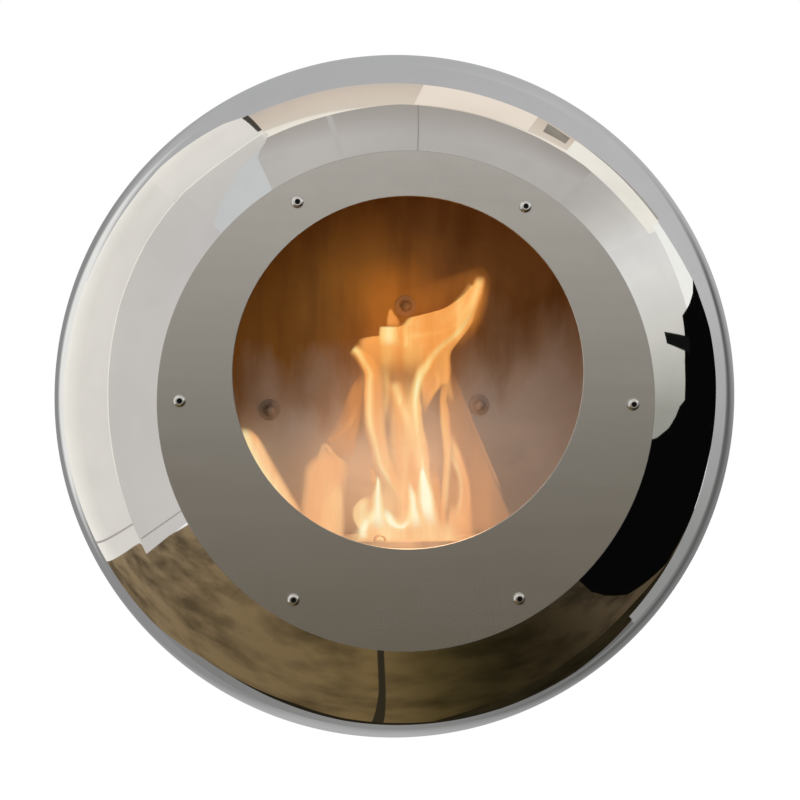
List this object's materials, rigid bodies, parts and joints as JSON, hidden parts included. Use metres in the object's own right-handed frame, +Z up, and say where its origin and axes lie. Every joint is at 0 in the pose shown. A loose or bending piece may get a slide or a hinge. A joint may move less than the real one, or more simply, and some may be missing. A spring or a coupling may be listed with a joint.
{
  "type": "hanging ethanol fireplace",
  "caption": "Round wall-hung ethanol fireplace: mirror-polished shell, flat brushed front ring with an off-centre opening, lift-out burner with sliding damper, hook-on wall plate.",
  "frame": {"origin": "middle of the wall plate's four screw holes, on the wall plane; it lies on the axis of the round shell", "axes": "+Z up, the front faces -Y and the wall lies at y = 0 facing it, +X to the right as seen from the room"},
  "size_m": [0.6, 0.2534, 0.6],
  "materials": {
    "mirror_steel": "mirror-polished spun stainless steel",
    "satin_steel": "brushed satin stainless steel",
    "tinted_steel": "satin stainless steel, tinted brown and straw by heat",
    "shelf_steel": "satin stainless sheet, dulled by heat",
    "burner_steel": "satin stainless sheet, straw-tinted by the flame",
    "gauze_steel": "perforated stainless sheet, sooted",
    "bright_screw": "polished stainless screws",
    "fastener_steel": "plain stainless fasteners",
    "tinted_fastener": "stainless fasteners tinted by heat",
    "zinc_steel": "zinc-plated sheet steel",
    "black_rubber": "matt black rubber",
    "ceramic_wool": "off-white ceramic fibre"
  },
  "bodies": {
    "wall_plate": {"wall_bracket": "zinc_steel"},
    "fireplace": {"hanger_rail": "zinc_steel", "hanger_rivets": "fastener_steel", "wall_bumpers": "black_rubber", "bumper_screws": "fastener_steel", "bumper_nuts": "fastener_steel", "back_shell": "mirror_steel", "front_shell": "mirror_steel", "joining_band": "shelf_steel", "band_screws": "fastener_steel", "band_nuts": "fastener_steel", "fascia_ring": "satin_steel", "fascia_screws": "bright_screw", "fascia_nuts": "fastener_steel", "heat_shield": "tinted_steel", "shield_studs": "fastener_steel", "shield_spacers": "fastener_steel", "shield_washers": "tinted_fastener", "shield_cap_nuts": "tinted_fastener", "burner_shelf": "shelf_steel", "shelf_screws": "tinted_fastener", "shelf_nuts": "fastener_steel", "spill_tray": "shelf_steel"},
    "burner": {"burner_tank": "burner_steel", "burner_top": "burner_steel", "ceramic_wool": "ceramic_wool", "wool_gauze": "gauze_steel", "rail_left": "burner_steel", "rail_right": "burner_steel", "rail_rivets": "tinted_fastener"},
    "damper": {"damper_plate": "burner_steel", "damper_pull": "burner_steel"}
  },
  "joints": [
    {"name": "unhook_lift", "type": "slide", "parent": "wall_plate", "child": "fireplace", "axis": [0, 0, 1], "range_m": [0, 0.018]},
    {"name": "burner_lift", "type": "slide", "parent": "fireplace", "child": "burner", "axis": [0, 0, 1], "range_m": [0, 0.07]},
    {"name": "damper_slide", "type": "slide", "parent": "burner", "child": "damper", "axis": [0, 1, 0], "range_m": [0, 0.0375]}
  ]
}
